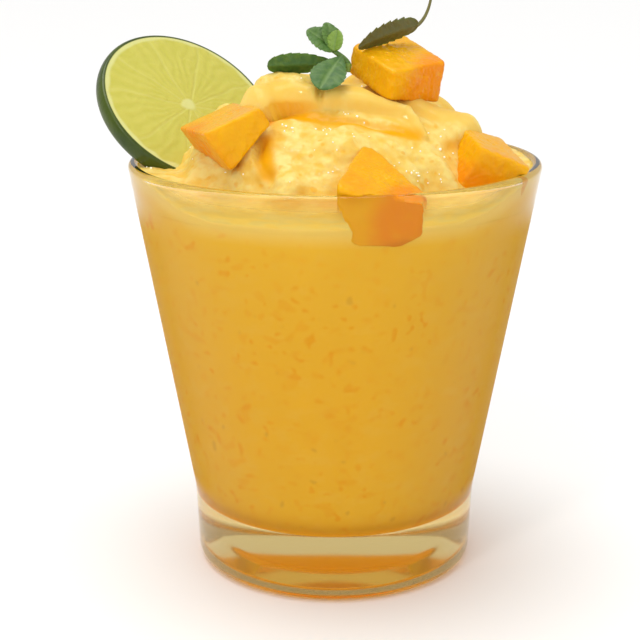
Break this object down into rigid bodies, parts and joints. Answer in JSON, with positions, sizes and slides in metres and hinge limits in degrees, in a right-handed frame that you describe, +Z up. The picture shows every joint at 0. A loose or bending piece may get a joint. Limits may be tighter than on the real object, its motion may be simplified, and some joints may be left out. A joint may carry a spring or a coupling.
{
  "type": "mango smoothie",
  "caption": "Thick-based tumbler of mango smoothie heaped over the rim, with mango chunks, a lime wheel, a mint sprig and a loose herb leaf.",
  "frame": {"origin": "centre of the glass's foot, on the surface it stands on", "axes": "+Z up along the glass's axis, -Y towards the viewer, +X to the viewer's right; the lime wheel leans out at -X"},
  "size_m": [0.1023, 0.0946, 0.1341],
  "materials": {
    "tumbler_glass": "clear, polished soda-lime glass",
    "smoothie_drink": "opaque mango smoothie with fine pulp, stands in for food",
    "smoothie_crown": "half-frozen smoothie, soft sheen, stands in for food",
    "lime": "wet lime flesh with a green rind, stands in for food",
    "mango": "moist cut mango, stands in for food",
    "mint": "fresh mint leaf",
    "herb": "dry-looking olive green herb leaf"
  },
  "bodies": {
    "root": {"tumbler": "tumbler_glass", "smoothie": "smoothie_drink", "crown": "smoothie_crown", "lime_wheel": "lime", "mango_chunk_top": "mango", "mango_chunk_left": "mango", "mango_chunk_front": "mango", "mango_chunk_right": "mango", "mint_sprig": "mint", "herb_leaf": "herb"}
  },
  "joints": []
}
